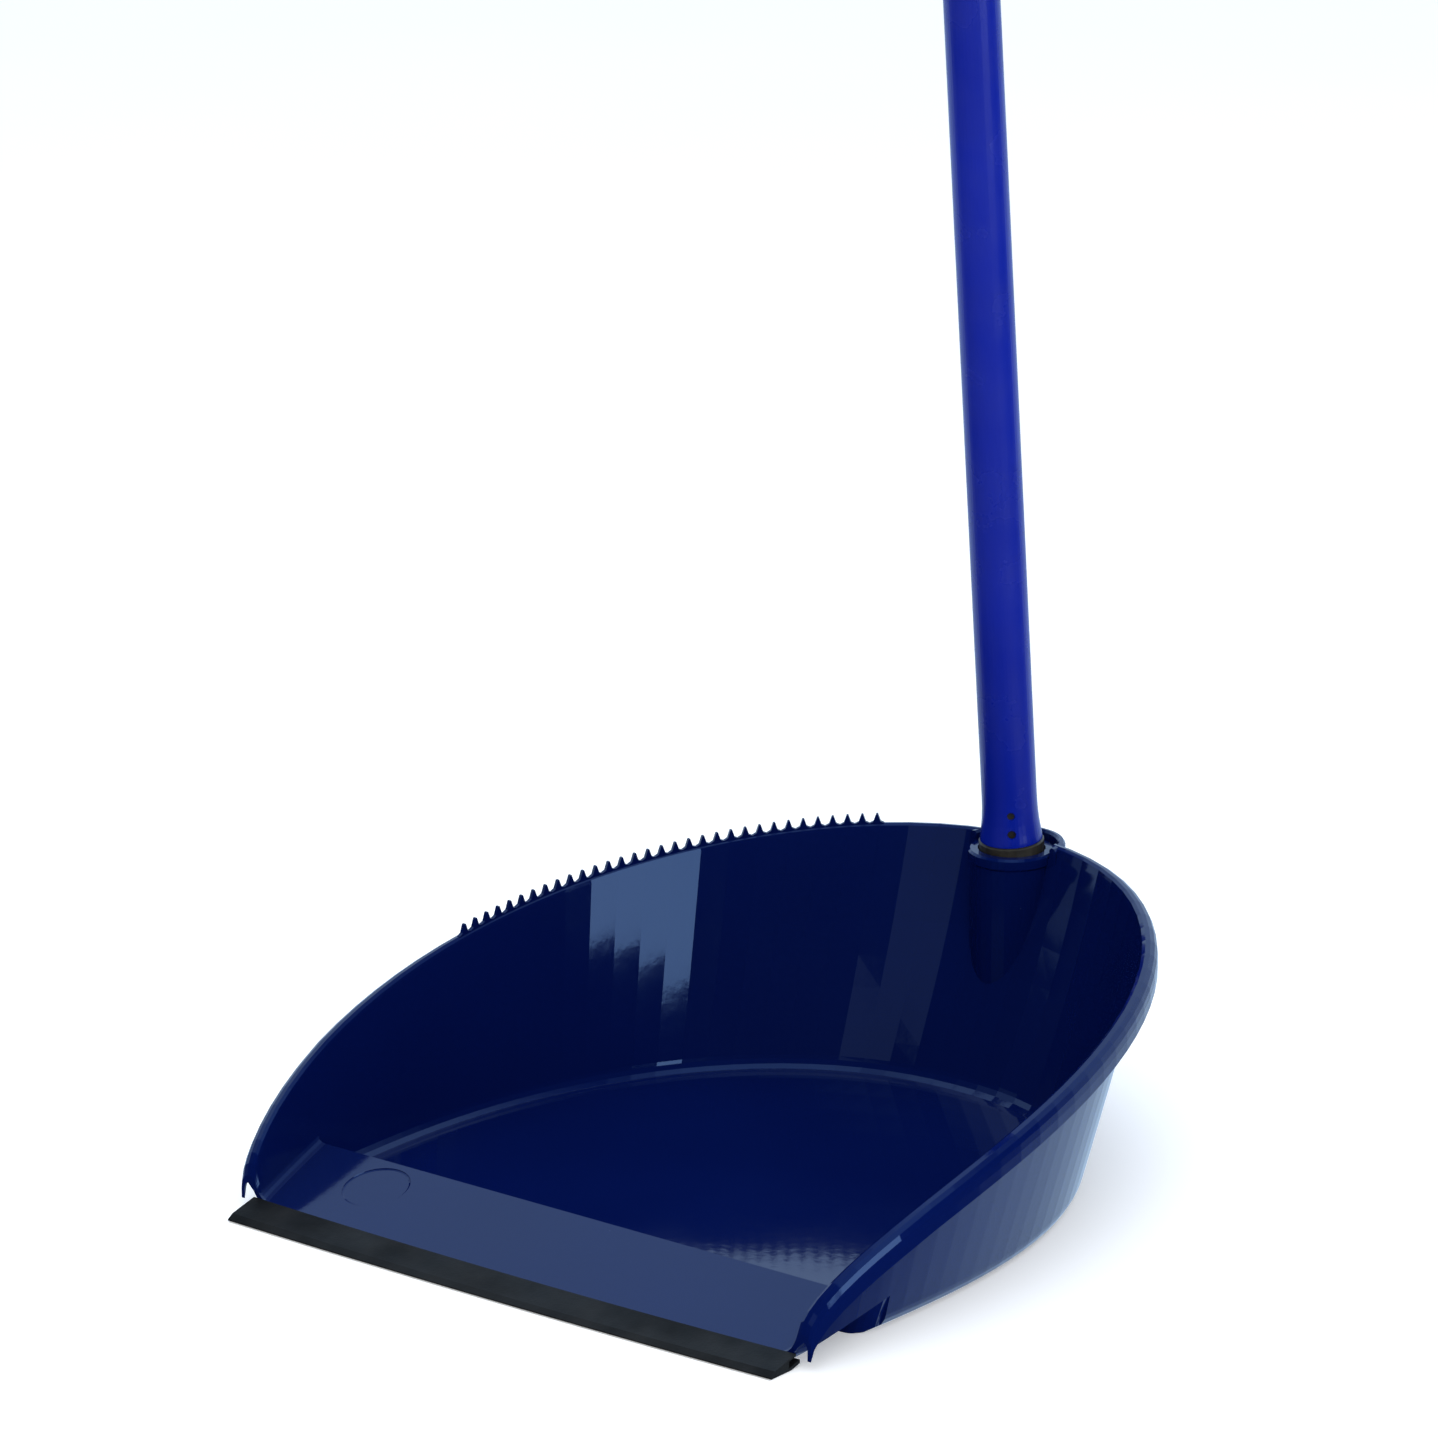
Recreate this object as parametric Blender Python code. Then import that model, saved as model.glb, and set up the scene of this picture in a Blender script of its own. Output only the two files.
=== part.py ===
"""A long-handled dustpan: moulded pan, rubber sweeping lip, and a steel handle that screws into the pan."""

import math

import bmesh
import bpy
from mathutils import Matrix, Vector

MM = 0.001

# The plan outline of the pan, in mm from the front edge of the ramp.
RIM_HALF_WIDTH = 145.5
RIM_WIDEST_AT = 104.35
RIM_BACK = 312.5
RIM_FRONT_TAPER = 15.05
FLOOR_HALF_WIDTH = 133.5
FLOOR_WIDEST_AT = 82.0
FLOOR_BACK = 274.0
FLOOR_FRONT_TAPER = 5.5
FLOOR_POWER = 2.18

# Heights and thicknesses of the pan.
WALL = 2.0
FLOOR_TOP = 2.0
FILLET = 5.0
UPPER_LEAN = math.tan(math.radians(17.0))
CURVE_HEIGHT = 90.0
CREST_AT = 41.4
CREST_TOP = 15.0
STEP_AT = 46.5
RAMP_FRONT_TOP = 4.5
RAMP_RISE = (CREST_TOP - RAMP_FRONT_TOP) / CREST_AT
UNDER_RAMP_BACK = 38.0
UNDER_RAMP_CORNER = 10.0
TONGUE_REACH = 4.0
TONGUE_HALF_WIDTH = 121.0
LIP_BOW = 2.0

# The rolled rim, outwards and upwards from the inner edge of the wall.
ROLL = (
    (0.0, -2.0), (0.4, -0.8), (1.7, 0.0), (3.6, -0.3), (5.3, -1.4), (6.3, -3.3), (6.6, -6.0), (6.6, -10.0),
    (5.0, -10.0), (5.0, -5.6), (4.4, -3.9), (3.2, -3.2), (2.2, -4.2),
)

# The comb of teeth that cleans a broom, measured along the rim from the back.
TOOTH_COUNT = 32
TOOTH_FIRST = 61.2
TOOTH_PITCH = 5.855
TOOTH_HEIGHT = 4.0
TOOTH_INNER = 1.0
TOOTH_OUTER = 2.6

# The socket at the back and the handle that leans forward out of it.
SOCKET_Y = 307.65
SOCKET_RADIUS = 16.5
SOCKET_BOTTOM = 30.0
COLLAR_RADIUS = 17.3
COLLAR_TOP = 93.7
BULGE_RADIUS = 21.0
BULGE_SHIFT = 0.9
HANDLE_BASE_Z = 96.05
HANDLE_LEAN = math.radians(5.33)
THREAD_PITCH = 5.0
THREAD_DEPTH = 0.6
SPIGOT_RADIUS = 9.2
BORE_RADIUS = 9.6
SHOULDER_RADIUS = 13.1
RECESS_RADIUS = 13.6
TUBE_RADIUS = 11.0
TUBE_WALL = 0.8
TUBE_START = 2.0
TUBE_END = 692.0
CRIMP_AT = (7.4, 15.0)
CRIMP_TOWARDS = math.radians(-51.7)
CAP_RADIUS = 13.2
CAP_SKIRT = 26.0

# The rubber lip, in section from front to back.
RUBBER_HALF_WIDTH = 130.5
RUBBER_REACH = 15.5

# The middle of the object from front to back.
MIDDLE_Y = (SOCKET_Y + BULGE_SHIFT + BULGE_RADIUS - RUBBER_REACH - LIP_BOW) / 2


def clear_scene():
    for thing in list(bpy.data.objects):
        bpy.data.objects.remove(thing)


def place(x, y, z):
    return (x * MM, (y - MIDDLE_Y) * MM, z * MM)


def finish(thing, colour, roughness, metallic=0.0):
    material = bpy.data.materials.new(thing.name)
    material.use_nodes = True
    shader = material.node_tree.nodes["Principled BSDF"]
    shader.inputs["Base Color"].default_value = (*colour, 1.0)
    shader.inputs["Roughness"].default_value = roughness
    shader.inputs["Metallic"].default_value = metallic
    thing.data.materials.append(material)


def rim_half(y):
    if y > RIM_WIDEST_AT:
        reach = (y - RIM_WIDEST_AT) / (RIM_BACK - RIM_WIDEST_AT)
        return RIM_HALF_WIDTH * math.sqrt(max(1.0 - reach * reach, 0.0))
    return RIM_HALF_WIDTH - RIM_FRONT_TAPER * (1.0 - y / RIM_WIDEST_AT) ** 2


def rim_top(y):
    return 13.64 - 0.02 * y + 258.56 * (1.0 - math.exp(-((max(y, 0.0) / 1293.4) ** 0.6)))


def floor_half(y):
    return FLOOR_HALF_WIDTH - FLOOR_FRONT_TAPER * (1.0 - y / FLOOR_WIDEST_AT) ** 2


def ramp_top(y):
    return RAMP_FRONT_TOP + RAMP_RISE * y


def bow(x, half_width):
    return LIP_BOW * (1.0 - (x / half_width) ** 2)


def outline(half, widest_at, back, power, half_width, start):
    """Points of a half outline from its front to the middle of its back."""
    steps = 40
    points = [(half(y), y) for y in (start + (widest_at - start) * i / steps for i in range(steps))]
    for i in range(4 * steps + 1):
        angle = math.pi / 2 * i / (4 * steps)
        x = half_width * max(math.cos(angle), 0.0) ** (2.0 / power)
        y = widest_at + (back - widest_at) * math.sin(angle) ** (2.0 / power)
        points.append((x, y))
    points[-1] = (0.0, back)
    return points


def along(points, distance):
    """The point this far along a line of points, and the direction there."""
    for (x0, y0), (x1, y1) in zip(points, points[1:]):
        length = math.hypot(x1 - x0, y1 - y0)
        if distance <= length or (x1, y1) == points[-1]:
            share = min(distance / length, 1.0)
            return (x0 + (x1 - x0) * share, y0 + (y1 - y0) * share), ((x1 - x0) / length, (y1 - y0) / length)
        distance -= length
    return points[-1], (-1.0, 0.0)


def line_length(points):
    return sum(math.hypot(b[0] - a[0], b[1] - a[1]) for a, b in zip(points, points[1:]))


def columns():
    """Matching points of the floor's edge and the rim, from the front right round to the back."""
    found = []
    for y in (0.0, 1.5, 4.0, 8.0, 14.0, 22.0, 31.0, CREST_AT, STEP_AT):
        found.append(((floor_half(y), y), (rim_half(y), y), (1.0, 0.0)))
    low = outline(floor_half, FLOOR_WIDEST_AT, FLOOR_BACK, FLOOR_POWER, FLOOR_HALF_WIDTH, STEP_AT)
    high = outline(rim_half, RIM_WIDEST_AT, RIM_BACK, 2.0, RIM_HALF_WIDTH, STEP_AT)
    low_length = line_length(low)
    high_length = line_length(high)
    count = 28
    for i in range(1, count + 1):
        foot, _ = along(low, low_length * i / count)
        top, (dx, dy) = along(high, high_length * i / count)
        found.append((foot, top, (dy, -dx) if i < count else (0.0, 1.0)))
    return found


def wall_offset(height, reach, low, high):
    """How far the wall has leaned out at this height."""
    span = high - low
    extra = reach - UPPER_LEAN * span
    if extra <= 0.0:
        return reach * (height - low) / span
    curve = min(CURVE_HEIGHT, span)
    rest = 1.0 - min((height - low) / curve, 1.0)
    return UPPER_LEAN * (height - low) + extra * (1.0 - rest * rest)


def column_points(foot, top, rim_normal):
    """One closed section of the wall, from the floor up, over the rolled rim and down the outside."""
    y_front = foot[1]
    reach = math.hypot(top[0] - foot[0], top[1] - foot[1])
    out = ((top[0] - foot[0]) / reach, (top[1] - foot[1]) / reach)
    rim_z = rim_top(top[1])
    low = FLOOR_TOP + FILLET
    high = rim_z - 2.0
    base = ramp_top(y_front) if y_front <= CREST_AT else FLOOR_TOP
    start = base + (3.0 if y_front <= CREST_AT else FILLET)

    def wall(height):
        return wall_offset(height, reach, low, high)

    def fillet(base_z, start_z):
        slope = (wall(start_z + 0.5) - wall(start_z)) / 0.5
        middle = wall(start_z) - (start_z - base_z) * slope
        begin = middle - 1.1 * (start_z - base_z)
        bend = []
        for share in (0.0, 0.3, 0.6, 0.85):
            a = (1 - share) ** 2
            b = 2 * share * (1 - share)
            c = share * share
            bend.append((a * begin + b * middle + c * wall(start_z), a * base_z + b * base_z + c * start_z))
        return bend

    section = fillet(base, start)
    for share in (0.0, 0.08, 0.18, 0.3, 0.44, 0.6, 0.8):
        height = start + (high - start) * share
        section.append((wall(height), height))
    points = [(foot[0] + out[0] * o, foot[1] + out[1] * o, z) for o, z in section]
    for o, z in ROLL:
        points.append((top[0] + rim_normal[0] * o, top[1] + rim_normal[1] * o, rim_z + z))
    ceiling = rim_z - 5.0
    outside = []
    for share in (1.0, 0.8, 0.6, 0.42, 0.27, 0.14, 0.0):
        height = low + (ceiling - low) * share
        outside.append((wall(height), height))
    outside += reversed(fillet(FLOOR_TOP, low))
    for i, (o, z) in enumerate(outside):
        before = outside[max(i - 1, 0)]
        after = outside[min(i + 1, len(outside) - 1)]
        tangent = Vector((before[0] - after[0], before[1] - after[1])).normalized()
        side = (tangent.y, -tangent.x) if i < len(outside) - 1 else (0.0, -1.0)
        o += WALL * side[0]
        z += WALL * side[1]
        points.append((foot[0] + out[0] * o, foot[1] + out[1] * o, z))
    return points


def mesh_object(name, verts, faces, smooth_angle=35.0, matrix=None, scale=True):
    """An object from points in mm. Faces may be any closed set: their winding is made outward."""
    mesh = bpy.data.meshes.new(name)
    mesh.from_pydata([place(*v) if scale else tuple(c * MM for c in v) for v in verts], [], faces)
    work = bmesh.new()
    work.from_mesh(mesh)
    bmesh.ops.remove_doubles(work, verts=work.verts, dist=1e-7)
    bmesh.ops.recalc_face_normals(work, faces=work.faces)
    work.to_mesh(mesh)
    work.free()
    mesh.shade_smooth()
    mesh.set_sharp_from_angle(angle=math.radians(smooth_angle))
    thing = bpy.data.objects.new(name, mesh)
    if matrix is not None:
        thing.matrix_world = matrix
    bpy.context.scene.collection.objects.link(thing)
    return thing


def pan_shell():
    right = [column_points(*column) for column in columns()]
    left = [[(-x, y, z) for x, y, z in points] for points in right[:-1]]
    loops = right + left[::-1]
    size = len(loops[0])
    verts = [point for points in loops for point in points]
    faces = []
    for j in range(len(loops) - 1):
        for i in range(size - 1):
            a = j * size + i
            faces.append((a, a + size, a + size + 1, a + 1))
    last = (len(loops) - 1) * size
    faces.append(tuple(range(size)))
    faces.append(tuple(last + i for i in reversed(range(size))))
    # The tongue of the ramp that goes into the rubber lip.
    count = 12
    first_top = len(verts)
    for i in range(count + 1):
        x = TONGUE_HALF_WIDTH * (1.0 - 2.0 * i / count)
        y = -TONGUE_REACH - bow(x, TONGUE_HALF_WIDTH)
        verts.append((x, y, ramp_top(y)))
    first_low = len(verts)
    for i in range(count + 1):
        x, y, _ = verts[first_top + i]
        verts.append((x, y, 0.0))
    top = [first_top + i for i in range(count + 1)]
    low = [first_low + i for i in range(count + 1)]
    for i in range(count):
        faces.append((top[i], top[i + 1], low[i + 1], low[i]))
    faces.append((0, top[0], low[0], size - 1))
    faces.append((top[-1], last, last + size - 1, low[-1]))
    front = 8
    ends = len(loops)
    ramp = [j * size for j in range(front)] + [(ends - front + j) * size for j in range(front)]
    faces.append(tuple(ramp + list(reversed(top))))
    crest = ((front - 1) * size, (ends - front) * size)
    faces.append((crest[0], front * size, (ends - front - 1) * size, crest[1]))
    faces.append(tuple(j * size for j in range(front, ends - front)))
    faces.append(tuple([j * size + size - 1 for j in range(ends)] + list(reversed(low))))
    return mesh_object("pan", verts, faces)


def turned(name, rows, matrix, segments=32, ring=False, sweep=2 * math.pi, start=0.0):
    """A body of revolution. Each row is (radius, height); a radius may be a function of the angle."""
    whole = abs(sweep - 2 * math.pi) < 1e-6
    count = segments if whole else segments + 1
    verts = []
    for radius, height in rows:
        for j in range(count):
            angle = start + sweep * j / segments
            r = radius(angle) if callable(radius) else radius
            verts.append((r * math.cos(angle), r * math.sin(angle), height))
    faces = []
    pairs = [(i, i + 1) for i in range(len(rows) - 1)]
    if ring:
        pairs.append((len(rows) - 1, 0))
    for i, k in pairs:
        for j in range(count if whole else count - 1):
            n = (j + 1) % count
            faces.append((i * count + j, i * count + n, k * count + n, k * count + j))
    if not ring:
        faces.append(tuple(range(count)))
        faces.append(tuple((len(rows) - 1) * count + j for j in reversed(range(count))))
    if not whole:
        faces.append(tuple(i * count for i in range(len(rows))))
        faces.append(tuple(i * count + count - 1 for i in reversed(range(len(rows)))))
    return mesh_object(name, verts, faces, matrix=matrix, scale=False)


def thread_rows(radius, side, low, high, fade):
    """Rows of a right-hand screw thread that runs out at both ends, to its core (side -1) or its bore (side 1)."""
    rows = []
    step = THREAD_PITCH / 6
    count = round((high - low) / step)
    for i in range(count + 1):
        height = low + (high - low) * i / count
        depth = THREAD_DEPTH * min(1.0, (height - low) / fade, (high - height) / fade)

        def surface(angle, height=height, depth=depth):
            wave = math.cos(2 * math.pi * height / THREAD_PITCH - angle)
            return radius + side * THREAD_DEPTH + depth * (wave - side)

        rows.append((surface, height))
    return rows


def socket_frame():
    return Matrix.Translation(place(0.0, SOCKET_Y, 0.0))


def handle_frame():
    return Matrix.Translation(place(0.0, SOCKET_Y, HANDLE_BASE_Z)) @ Matrix.Rotation(HANDLE_LEAN, 4, "X")


def combine(target, tool, operation):
    tool.hide_render = True
    tool.display_type = "WIRE"
    change = target.modifiers.new(tool.name, "BOOLEAN")
    change.operation = operation
    change.object = tool
    change.solver = "EXACT"


def comb_of_teeth():
    points = outline(rim_half, RIM_WIDEST_AT, RIM_BACK, 2.0, RIM_HALF_WIDTH, 0.0)
    length = line_length(points)
    steps = [(-TOOTH_PITCH / 2, 0.1), (-1.45, 0.8), (-0.35, TOOTH_HEIGHT), (0.35, TOOTH_HEIGHT), (1.45, 0.8)]
    stations = [(TOOTH_FIRST + TOOTH_PITCH * n + s, h) for n in range(TOOTH_COUNT) for s, h in steps]
    stations.append((stations[-1][0] + TOOTH_PITCH / 2 - 1.45, 0.1))
    verts = []
    for distance, height in stations:
        (x, y), (dx, dy) = along(points, length - distance)
        z = rim_top(y)
        inner = (-(x + dy * TOOTH_INNER), y - dx * TOOTH_INNER)
        outer = (-(x + dy * TOOTH_OUTER), y - dx * TOOTH_OUTER)
        verts += [(*inner, z - 1.7), (*inner, z + height), (*outer, z + height), (*outer, z - 1.7)]
    faces = [(0, 1, 2, 3), tuple(len(verts) - 4 + i for i in (3, 2, 1, 0))]
    for j in range(len(stations) - 1):
        for i in range(4):
            n = (i + 1) % 4
            faces.append((4 * j + i, 4 * j + 4 + i, 4 * j + 4 + n, 4 * j + n))
    return mesh_object("comb_of_teeth", verts, faces)


def under_ramp_space():
    """The hollow below the ramp, with rounded corners where the floor box begins."""
    def loop(height_of, half):
        corner = []
        for i in range(7):
            angle = math.pi / 2 * i / 6
            x = half - UNDER_RAMP_CORNER * (1.0 - math.cos(angle))
            y = UNDER_RAMP_BACK + UNDER_RAMP_CORNER * (1.0 - math.sin(angle))
            corner.append((x, y))
        plan = [(190.0, -25.0), (190.0, UNDER_RAMP_BACK + UNDER_RAMP_CORNER)] + corner
        plan += [(-x, y) for x, y in reversed(plan)]
        return [(x, y, height_of(y)) for x, y in plan]

    half = floor_half(UNDER_RAMP_BACK)
    low = loop(lambda y: -12.0, half - 5.0)
    high = loop(lambda y: ramp_top(y) - WALL, half + 4.0)
    count = len(low)
    faces = [(i, (i + 1) % count, count + (i + 1) % count, count + i) for i in range(count)]
    faces += [tuple(range(count)), tuple(range(2 * count - 1, count - 1, -1))]
    return mesh_object("under_ramp_space", low + high, faces)


def badge_dish():
    """A shallow round dish on the ramp, left plain."""
    slope = Matrix.Rotation(math.atan(RAMP_RISE), 4, "X")
    centre = Matrix.Translation(place(-91.3, 25.5, ramp_top(25.5)))
    rows = [(12.6, -0.5), (13.2, -0.3), (14.0, 1.5)]
    return turned("badge_dish", rows, centre @ slope, segments=36)


def socket_bore():
    rows = [(8.6, -48.0)] + thread_rows(BORE_RADIUS, 1.0, -46.0, -6.6, 2.0)
    rows += [(BORE_RADIUS + THREAD_DEPTH, -5.3), (RECESS_RADIUS, -5.3), (RECESS_RADIUS, 14.0)]
    return turned("socket_bore", rows, handle_frame(), segments=24)


def build_pan():
    pan = pan_shell()
    hub_rows = [
        (14.5, SOCKET_BOTTOM), (16.2, SOCKET_BOTTOM + 2.0), (SOCKET_RADIUS, 60.0), (SOCKET_RADIUS, 88.5),
        (COLLAR_RADIUS, 89.5), (COLLAR_RADIUS, COLLAR_TOP - 0.9), (COLLAR_RADIUS - 0.9, COLLAR_TOP),
    ]
    bulge_rows = [
        (15.0, 85.6), (BULGE_RADIUS, 85.6), (BULGE_RADIUS, 95.4), (BULGE_RADIUS - 0.8, 96.6),
        (BULGE_RADIUS - 2.2, 96.8), (17.9, 95.8), (17.9, 92.0), (15.0, 92.0),
    ]
    clear_rows = [(17.9, COLLAR_TOP + 0.02), (17.9, 110.0)]
    combine(pan, under_ramp_space(), "DIFFERENCE")
    combine(pan, turned("socket_hub", hub_rows, socket_frame(), segments=40), "UNION")
    bulge = turned("socket_bulge", bulge_rows, socket_frame(), 20, True, math.pi, 0.0)
    bulge.location.y += BULGE_SHIFT * MM
    combine(pan, bulge, "UNION")
    combine(pan, comb_of_teeth(), "UNION")
    combine(pan, turned("collar_clearance", clear_rows, socket_frame(), segments=40), "DIFFERENCE")
    combine(pan, socket_bore(), "DIFFERENCE")
    combine(pan, badge_dish(), "DIFFERENCE")
    return pan


def build_rubber_lip():
    section = (
        (-0.3, 5.5), (-0.3, ramp_top(-0.3) + 0.3), (-4.4, ramp_top(-4.4) + 0.3), (-4.4, 1.0),
        (2.0, ramp_top(2.0) - WALL - 0.35), (2.0, 1.2), (-3.0, 0.0), (-RUBBER_REACH + 0.8, 0.0),
        (-RUBBER_REACH, 0.4), (-RUBBER_REACH + 0.3, 0.85), (-12.6, 2.5),
    )
    count = 16
    verts = []
    for i in range(count + 1):
        x = RUBBER_HALF_WIDTH * (1.0 - 2.0 * i / count)
        shift = bow(x, RUBBER_HALF_WIDTH)
        verts += [(x, y - shift, z - RAMP_RISE * shift if z > 0.9 else z) for y, z in section]
    size = len(section)
    faces = [tuple(range(size)), tuple(count * size + i for i in reversed(range(size)))]
    for j in range(count):
        for i in range(size):
            n = (i + 1) % size
            faces.append((j * size + i, (j + 1) * size + i, (j + 1) * size + n, j * size + n))
    return mesh_object("rubber_lip", verts, faces, smooth_angle=25.0)


def build_handle_tube():
    flare = [(12.5, TUBE_START), (12.35, 3.5), (11.9, 6.5), (11.4, 10.5), (11.1, 15.0), (TUBE_RADIUS, 20.0)]
    outer = flare + [(TUBE_RADIUS, TUBE_END)]
    inner = [(r - TUBE_WALL, t) for r, t in reversed(outer)]
    tube = turned("handle_tube", outer + inner, handle_frame(), segments=48, ring=True)
    for i, height in enumerate(CRIMP_AT):
        pin = turned(f"crimp_{i + 1}", [(1.1, 8.6), (1.7, 11.2), (2.6, 14.5)], None, segments=16)
        turn = Matrix.Rotation(CRIMP_TOWARDS, 4, "Z") @ Matrix.Rotation(math.pi / 2, 4, "Y")
        pin.matrix_world = handle_frame() @ Matrix.Translation((0.0, 0.0, height * MM)) @ turn
        combine(tube, pin, "DIFFERENCE")
    return tube


def build_threaded_insert():
    rows = [(7.4, -41.5)] + thread_rows(SPIGOT_RADIUS, -1.0, -40.0, -7.0, 2.5)
    rows += [
        (SPIGOT_RADIUS - THREAD_DEPTH, -5.0), (SHOULDER_RADIUS - 0.5, -5.0), (SHOULDER_RADIUS, -4.5), (SHOULDER_RADIUS, 1.1),
        (SHOULDER_RADIUS - 0.6, 1.7), (9.9, 1.7), (9.9, 30.0), (9.2, 32.0), (7.2, 32.0), (6.6, -36.0), (5.4, -41.5),
    ]
    return turned("threaded_insert", rows, handle_frame(), segments=24, ring=True)


def build_hanging_cap():
    top = TUBE_END + 0.4
    rows = [
        (TUBE_RADIUS + 0.35, top), (TUBE_RADIUS + 0.35, top - CAP_SKIRT),
        (CAP_RADIUS - 0.6, top - CAP_SKIRT), (CAP_RADIUS, top - CAP_SKIRT + 0.8), (CAP_RADIUS, top + 2.0),
        (12.4, top + 6.0), (10.6, top + 10.0), (9.8, top + 15.0), (9.8, top + 25.0), (8.4, top + 30.5),
        (5.8, top + 33.6), (2.5, top + 34.8),
    ]
    cap = turned("hanging_cap", rows, handle_frame(), segments=36)
    eye = turned("cap_eye", [(5.6, -15.0), (4.4, -5.0), (4.4, 5.0), (5.6, 15.0)], None, segments=24)
    across = Matrix.Rotation(math.pi / 2, 4, "Y")
    eye.matrix_world = handle_frame() @ Matrix.Translation((0.0, 0.0, (top + 21.0) * MM)) @ across
    combine(cap, eye, "DIFFERENCE")
    return cap


def main():
    clear_scene()
    finish(build_pan(), (0.006, 0.022, 0.19), 0.18)
    finish(build_rubber_lip(), (0.012, 0.012, 0.013), 0.7)
    finish(build_handle_tube(), (0.006, 0.02, 0.34), 0.3)
    finish(build_threaded_insert(), (0.03, 0.027, 0.022), 0.6)
    finish(build_hanging_cap(), (0.006, 0.02, 0.3), 0.35)


main()
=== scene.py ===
"""The looks of a long-handled dustpan: navy moulded plastic, black rubber lip, blue painted handle."""

import math

import bpy
from mathutils import Matrix, Vector

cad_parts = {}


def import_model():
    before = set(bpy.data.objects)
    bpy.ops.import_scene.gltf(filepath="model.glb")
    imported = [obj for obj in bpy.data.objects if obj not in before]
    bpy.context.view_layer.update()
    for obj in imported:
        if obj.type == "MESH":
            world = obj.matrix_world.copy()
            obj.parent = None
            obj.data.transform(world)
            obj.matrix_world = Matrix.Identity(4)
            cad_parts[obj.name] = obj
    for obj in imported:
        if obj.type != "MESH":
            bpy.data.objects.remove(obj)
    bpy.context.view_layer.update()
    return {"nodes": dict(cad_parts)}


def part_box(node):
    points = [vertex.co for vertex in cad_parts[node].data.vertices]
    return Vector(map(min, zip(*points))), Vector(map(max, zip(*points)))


# The camera: its turn about the object, its height angle, its distance and its focal length.
CAMERA_TURN = math.radians(38.32)
CAMERA_PITCH = math.radians(16.78)
CAMERA_DISTANCE = 2.8771
FOCAL_SHARE = 7500.0 / 1438.0
SENSOR = 36.0
AIM_ACROSS = 0.018547
AIM_DOWN = 0.126652
AIM_HEIGHT = 0.052

# The studio's surroundings: how far round, and how far up, the bright sweep and the bright top fade in.
SWEEP = (0.05, 0.5)
TOP = (0.88, 0.97)
SWEEP_COLOUR = (0.55, 0.75, 1.0)
ROOM_COLOUR = (0.012, 0.014, 0.018)
WORLD_STRENGTH = 1.0
SPECULAR_TINT = (0.4, 0.62, 1.0, 1.0)

# The lights seen in the gloss: name, degrees to the right of the camera's side, degrees up, distance, width,
# height, power and colour.
SEEN_LIGHTS = (
    ("softbox", 47, 13, 2.2, 0.85, 1.25, 14.0, (0.7, 0.84, 1.0)),
    ("left_card", -38, 25, 2.4, 1.1, 1.1, 1.2, (0.9, 0.95, 1.0)),
)

# The lights that only fill, in the same order.
FILL_LIGHTS = (
    ("overhead", 0, 90, 4.0, 6.0, 6.0, 130.0, (1.0, 1.0, 1.0)),
    ("front", 0, 35, 3.5, 3.0, 3.0, 60.0, (1.0, 1.0, 1.0)),
)

# The floor: its width, and how far it is below the object so that the two don't touch.
FLOOR_WIDTH = 14.0
FLOOR_GAP = 0.0002

# What the camera looks at, behind the pan's front edge.
AIM_BEHIND_FRONT = 0.156
STUDIO_MIDDLE = Vector((0.0, 0.0, 0.05))

# The colours: the two ends of each material's slow variation.
PAN_COLOURS = ((0.0009, 0.005, 0.056), (0.0012, 0.0062, 0.066))
CAP_COLOURS = ((0.0015, 0.008, 0.24), (0.002, 0.011, 0.3))
TUBE_COLOURS = ((0.0009, 0.0105, 0.26), (0.0012, 0.0125, 0.3))
INSERT_COLOURS = ((0.018, 0.015, 0.011), (0.05, 0.044, 0.03))


def node(tree, kind, **inputs):
    """A shader node with its settings. A setting that names a socket is put on that socket."""
    made = tree.nodes.new(kind)
    for name, value in inputs.items():
        socket = name.replace("_", " ")
        if hasattr(made, name):
            setattr(made, name, value)
        elif isinstance(value, bpy.types.NodeSocket):
            tree.links.new(value, made.inputs[socket])
        else:
            made.inputs[socket].default_value = value
    return made


def new_material(name):
    material = bpy.data.materials.new(name)
    material.use_nodes = True
    tree = material.node_tree
    shader = tree.nodes["Principled BSDF"]
    place = node(tree, "ShaderNodeTexCoord").outputs["Object"]
    return material, tree, shader, place


def noise(tree, place, scale, detail=3.0, roughness=0.5):
    made = node(tree, "ShaderNodeTexNoise", Scale=scale, Detail=detail, Roughness=roughness)
    tree.links.new(place, made.inputs["Vector"])
    return made.outputs["Fac"]


def ramp(tree, fac, stops):
    """A colour ramp; each stop is (position, grey or colour)."""
    made = node(tree, "ShaderNodeValToRGB")
    tree.links.new(fac, made.inputs["Fac"])
    elements = made.color_ramp.elements
    while len(elements) < len(stops):
        elements.new(0.5)
    for element, (position, colour) in zip(elements, stops):
        element.position = position
        element.color = (*colour, 1.0) if isinstance(colour, tuple) else (colour, colour, colour, 1.0)
    return made.outputs["Color"]


def bump(tree, height, strength, distance, under=None):
    made = node(tree, "ShaderNodeBump", Strength=strength, Distance=distance)
    tree.links.new(height, made.inputs["Height"])
    if under is not None:
        tree.links.new(under, made.inputs["Normal"])
    return made.outputs["Normal"]


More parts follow.
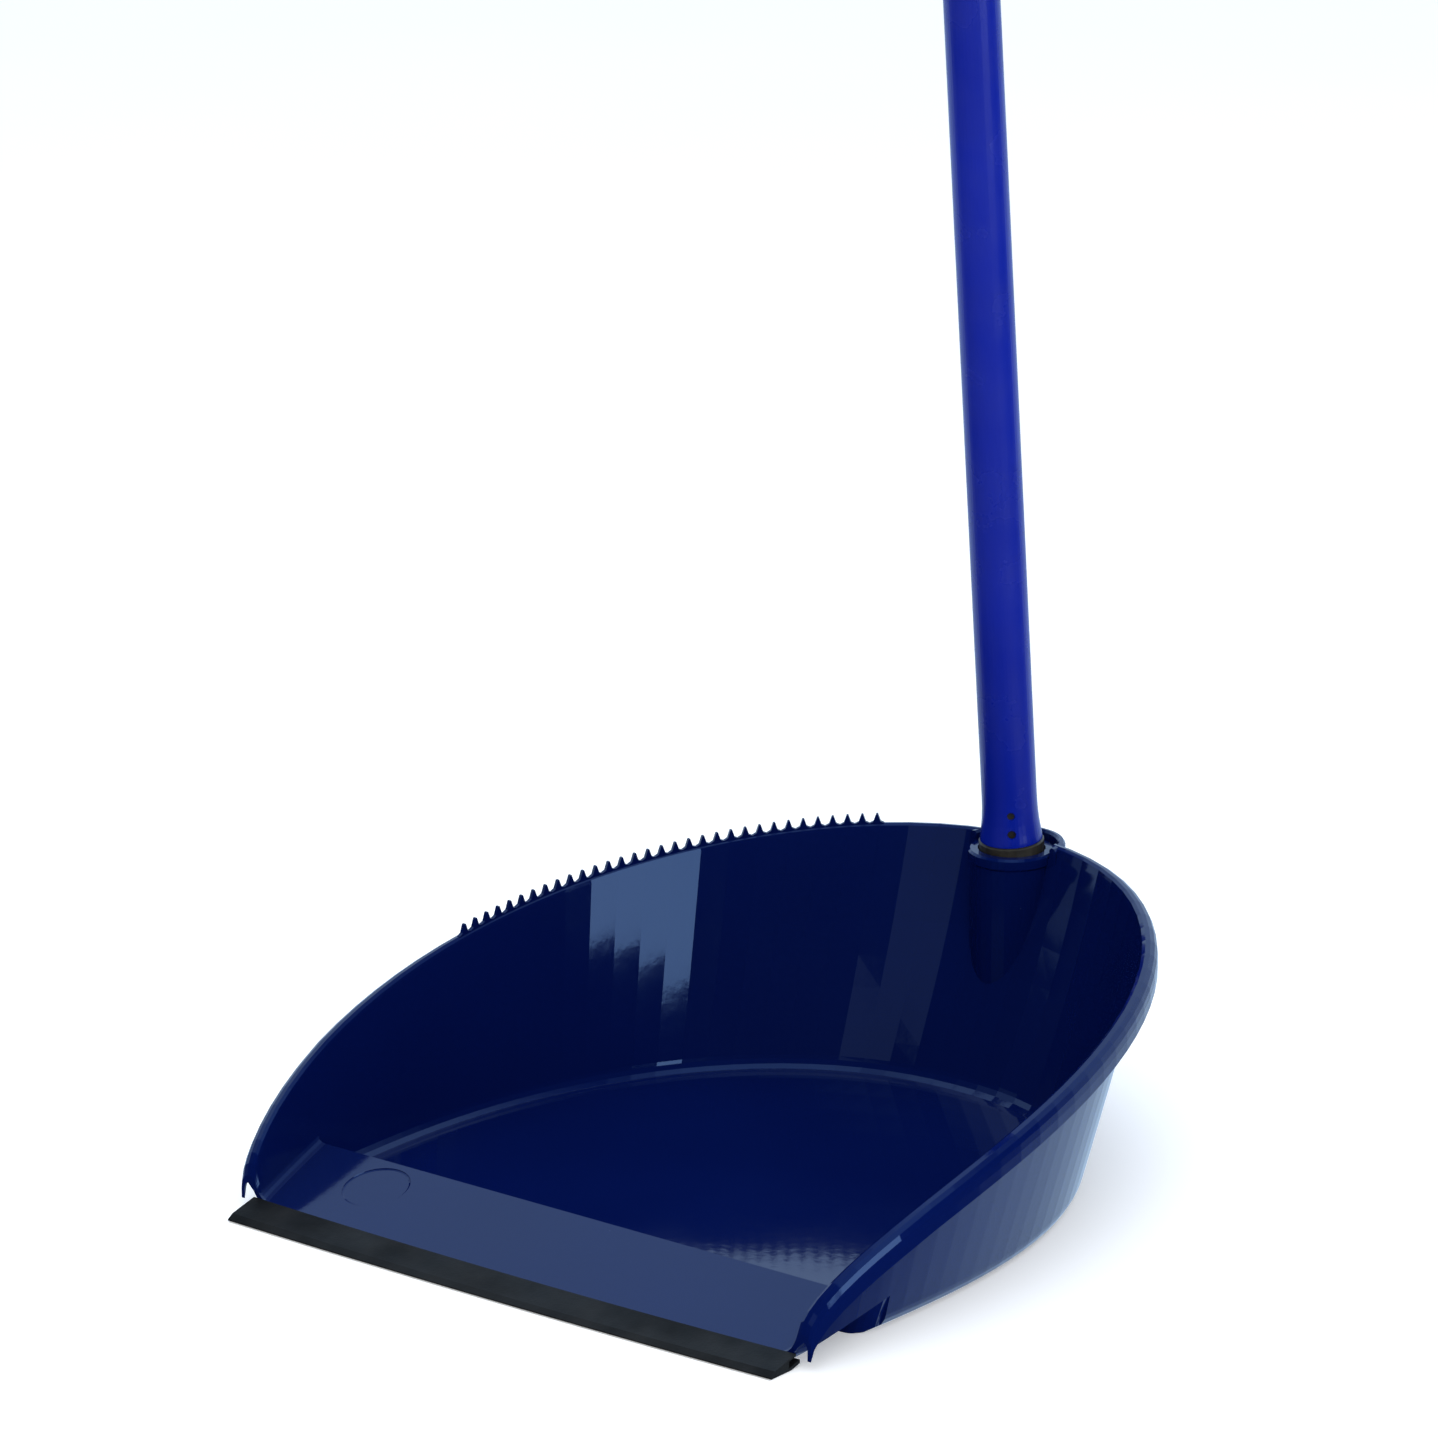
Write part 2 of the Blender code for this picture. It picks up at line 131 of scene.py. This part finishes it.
def moulded_plastic(name, deep, bright, low, high):
    """Glossy injection-moulded plastic: slight flow marks, an orange-peel skin and a few dust specks."""
    material, tree, shader, place = new_material(name)
    flow = noise(tree, place, 9.0, 2.0)
    colour = ramp(tree, flow, [(0.3, deep), (0.7, bright)])
    specks = node(tree, "ShaderNodeTexVoronoi", Scale=95.0)
    tree.links.new(place, specks.inputs["Vector"])
    mask = ramp(tree, specks.outputs["Distance"], [(0.0, 0.5), (0.03, 0.0)])
    thin = ramp(tree, noise(tree, place, 30.0, 1.0), [(0.62, 0.0), (0.72, 1.0)])
    both = node(tree, "ShaderNodeMath", operation="MULTIPLY")
    tree.links.new(mask, both.inputs[0])
    tree.links.new(thin, both.inputs[1])
    dusty = node(tree, "ShaderNodeMix", data_type="RGBA")
    tree.links.new(both.outputs[0], dusty.inputs["Factor"])
    tree.links.new(colour, dusty.inputs["A"])
    dusty.inputs["B"].default_value = (0.3, 0.33, 0.4, 1.0)
    tree.links.new(dusty.outputs["Result"], shader.inputs["Base Color"])
    gloss = ramp(tree, noise(tree, place, 24.0, 4.0), [(0.25, low), (0.75, high)])
    tree.links.new(gloss, shader.inputs["Roughness"])
    skin = bump(tree, noise(tree, place, 260.0, 2.0), 0.05, 0.0004)
    tree.links.new(bump(tree, noise(tree, place, 12.0, 1.0), 0.12, 0.0015, skin), shader.inputs["Normal"])
    shader.inputs["IOR"].default_value = 1.5
    shader.inputs["Specular Tint"].default_value = SPECULAR_TINT
    return material


def rubber():
    material, tree, shader, place = new_material("lip_rubber")
    colour = ramp(tree, noise(tree, place, 60.0, 5.0), [(0.3, 0.004), (0.8, 0.016)])
    tree.links.new(colour, shader.inputs["Base Color"])
    gloss = ramp(tree, noise(tree, place, 40.0, 3.0), [(0.3, 0.42), (0.7, 0.62)])
    tree.links.new(gloss, shader.inputs["Roughness"])
    grain = bump(tree, noise(tree, place, 900.0, 3.0), 0.25, 0.0003)
    tree.links.new(bump(tree, noise(tree, place, 70.0, 2.0), 0.3, 0.0008, grain), shader.inputs["Normal"])
    shader.inputs["Specular IOR Level"].default_value = 0.16
    return material


def painted_tube():
    material, tree, shader, place = new_material("handle_paint")
    colour = ramp(tree, noise(tree, place, 14.0, 3.0), [(0.3, TUBE_COLOURS[0]), (0.7, TUBE_COLOURS[1])])
    tree.links.new(colour, shader.inputs["Base Color"])
    gloss = ramp(tree, noise(tree, place, 50.0, 4.0), [(0.3, 0.2), (0.7, 0.3)])
    tree.links.new(gloss, shader.inputs["Roughness"])
    skin = bump(tree, noise(tree, place, 420.0, 2.0), 0.08, 0.0003)
    tree.links.new(skin, shader.inputs["Normal"])
    return material


def insert_plastic():
    material, tree, shader, place = new_material("insert_plastic")
    colour = ramp(tree, noise(tree, place, 90.0, 4.0), [(0.3, INSERT_COLOURS[0]), (0.75, INSERT_COLOURS[1])])
    tree.links.new(colour, shader.inputs["Base Color"])
    gloss = ramp(tree, noise(tree, place, 120.0, 3.0), [(0.3, 0.35), (0.7, 0.55)])
    tree.links.new(gloss, shader.inputs["Roughness"])
    tree.links.new(bump(tree, noise(tree, place, 300.0, 2.0), 0.2, 0.0003), shader.inputs["Normal"])
    return material


def dress(thing, material):
    thing.data.materials.clear()
    thing.data.materials.append(material)


def floor_material():
    material, tree, shader, place = new_material("pale_floor")
    colour = ramp(tree, noise(tree, place, 2.0, 2.0), [(0.3, 0.86), (0.7, 0.9)])
    tree.links.new(colour, shader.inputs["Base Color"])
    shader.inputs["Roughness"].default_value = 0.7
    shader.inputs["Emission Color"].default_value = (1.0, 1.0, 1.0, 1.0)
    shader.inputs["Emission Strength"].default_value = 0.35
    return material


def plane(name, size_x, size_y, matrix, material):
    mesh = bpy.data.meshes.new(name)
    x, y = size_x / 2, size_y / 2
    mesh.from_pydata([(-x, -y, 0), (x, -y, 0), (x, y, 0), (-x, y, 0)], [], [(0, 1, 2, 3)])
    thing = bpy.data.objects.new(name, mesh)
    thing.matrix_world = matrix
    mesh.materials.append(material)
    bpy.context.scene.collection.objects.link(thing)
    return thing


def facing(place, target):
    """A matrix at a place, whose -Z looks at the target."""
    look = (Vector(target) - Vector(place)).to_track_quat("-Z", "Y")
    return Matrix.Translation(place) @ look.to_matrix().to_4x4()


def area_light(name, place, target, size_x, size_y, power, colour):
    data = bpy.data.lights.new(name, "AREA")
    data.shape = "RECTANGLE"
    data.size = size_x
    data.size_y = size_y
    data.energy = power
    data.color = colour
    light = bpy.data.objects.new(name, data)
    light.matrix_world = facing(place, target)
    bpy.context.scene.collection.objects.link(light)
    return light


def view_axes():
    right = Vector((math.cos(CAMERA_TURN), math.sin(CAMERA_TURN), 0.0))
    level = Vector((-math.sin(CAMERA_TURN), math.cos(CAMERA_TURN), 0.0))
    ahead = level * math.cos(CAMERA_PITCH) - Vector((0.0, 0.0, math.sin(CAMERA_PITCH)))
    return right, right.cross(ahead), ahead


def add_camera(aim):
    right, up, ahead = view_axes()
    place = aim - ahead * CAMERA_DISTANCE - right * AIM_ACROSS + up * AIM_DOWN
    data = bpy.data.cameras.new("camera")
    data.sensor_width = SENSOR
    data.lens = FOCAL_SHARE * SENSOR
    data.clip_end = 50.0
    camera = bpy.data.objects.new("camera", data)
    turn = Matrix((right, up, -ahead)).transposed().to_4x4()
    camera.matrix_world = Matrix.Translation(place) @ turn
    bpy.context.scene.collection.objects.link(camera)
    bpy.context.scene.camera = camera


def smooth_step(tree, value, low, high):
    made = node(tree, "ShaderNodeMapRange", interpolation_type="SMOOTHSTEP", From_Min=low, From_Max=high)
    tree.links.new(value, made.inputs["Value"])
    return made.outputs["Result"]


def studio_world(level):
    """A bright sweep behind the object and overhead, and a dark room on the camera's side."""
    world = bpy.data.worlds.new("studio")
    world.use_nodes = True
    tree = world.node_tree
    direction = node(tree, "ShaderNodeTexCoord").outputs["Generated"]
    behind = node(tree, "ShaderNodeVectorMath", operation="DOT_PRODUCT")
    tree.links.new(direction, behind.inputs[0])
    behind.inputs[1].default_value = level
    sweep = smooth_step(tree, behind.outputs["Value"], *SWEEP)
    split = node(tree, "ShaderNodeSeparateXYZ")
    tree.links.new(direction, split.inputs[0])
    top = smooth_step(tree, split.outputs["Z"], *TOP)
    both = node(tree, "ShaderNodeMath", operation="MAXIMUM")
    tree.links.new(sweep, both.inputs[0])
    tree.links.new(top, both.inputs[1])
    colour = ramp(tree, both.outputs["Value"], [(0.0, ROOM_COLOUR), (1.0, SWEEP_COLOUR)])
    ground = tree.nodes["Background"]
    tree.links.new(colour, ground.inputs["Color"])
    ground.inputs["Strength"].default_value = WORLD_STRENGTH
    bpy.context.scene.world = world


def level_ahead():
    """The way the camera looks, made level."""
    ahead = view_axes()[2]
    return Vector((ahead.x, ahead.y, 0.0)).normalized()


def towards(turn, raised):
    """The direction at this angle to the right of the camera's side, and this far above level."""
    turn = math.radians(turn)
    raised = math.radians(raised)
    flat = view_axes()[0] * math.sin(turn) - level_ahead() * math.cos(turn)
    return flat * math.cos(raised) + Vector((0.0, 0.0, math.sin(raised)))


def add_studio(middle):
    studio_world(level_ahead())
    under = Matrix.Translation((0.0, 0.0, -FLOOR_GAP))
    ground = plane("floor", FLOOR_WIDTH, FLOOR_WIDTH, under, floor_material())
    ground.visible_glossy = False
    for lights, seen in ((SEEN_LIGHTS, True), (FILL_LIGHTS, False)):
        for name, turn, raised, distance, width, height, power, colour in lights:
            place = middle + towards(turn, raised) * distance
            light = area_light(name, place, middle, width, height, power, colour)
            light.visible_glossy = seen


def main():
    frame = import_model()
    nodes = frame["nodes"]
    dress(nodes["pan"], moulded_plastic("pan_plastic", *PAN_COLOURS, 0.05, 0.1))
    dress(nodes["rubber_lip"], rubber())
    dress(nodes["handle_tube"], painted_tube())
    dress(nodes["threaded_insert"], insert_plastic())
    dress(nodes["hanging_cap"], moulded_plastic("cap_plastic", *CAP_COLOURS, 0.2, 0.3))
    add_camera(Vector((0.0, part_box("pan")[0].y + AIM_BEHIND_FRONT, AIM_HEIGHT)))
    add_studio(STUDIO_MIDDLE)
    bpy.context.scene.view_settings.view_transform = "Standard"


main()
